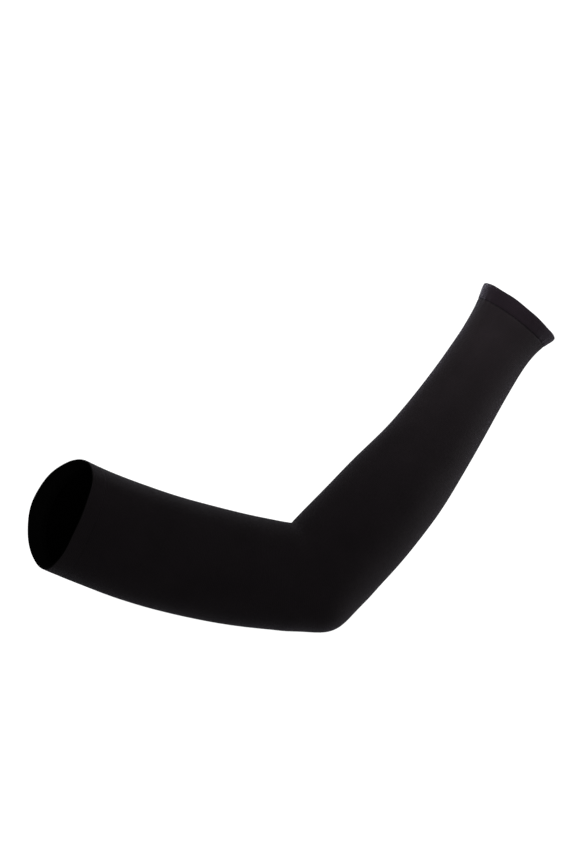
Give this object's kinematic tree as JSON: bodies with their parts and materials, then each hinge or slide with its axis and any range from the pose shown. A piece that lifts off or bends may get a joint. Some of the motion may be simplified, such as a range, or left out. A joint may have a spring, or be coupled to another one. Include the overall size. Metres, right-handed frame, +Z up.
{
  "type": "arm sleeve",
  "caption": "Stretch-knit cooling arm sleeve in the form of a bent arm, a seamless tube open at the upper arm and at the wrist, with a turned and stitched hem round each opening.",
  "frame": {"origin": "the middle of the opening for the upper arm, where the wearer's arm goes in and holds the sleeve", "axes": "the arm bends in the XZ plane: +X from the upper arm to the wrist, +Z up and away from the point of the elbow, -Y to the side seen in the picture"},
  "size_m": [0.3741, 0.078, 0.2465],
  "materials": {
    "tube_knit": "matte fine knit with a soft sheen at its edges",
    "hem_knit": "matte fine knit, folded double"
  },
  "bodies": {
    "root": {"sleeve_tube": "tube_knit", "upper_arm_hem": "hem_knit", "wrist_hem": "hem_knit"}
  },
  "joints": []
}
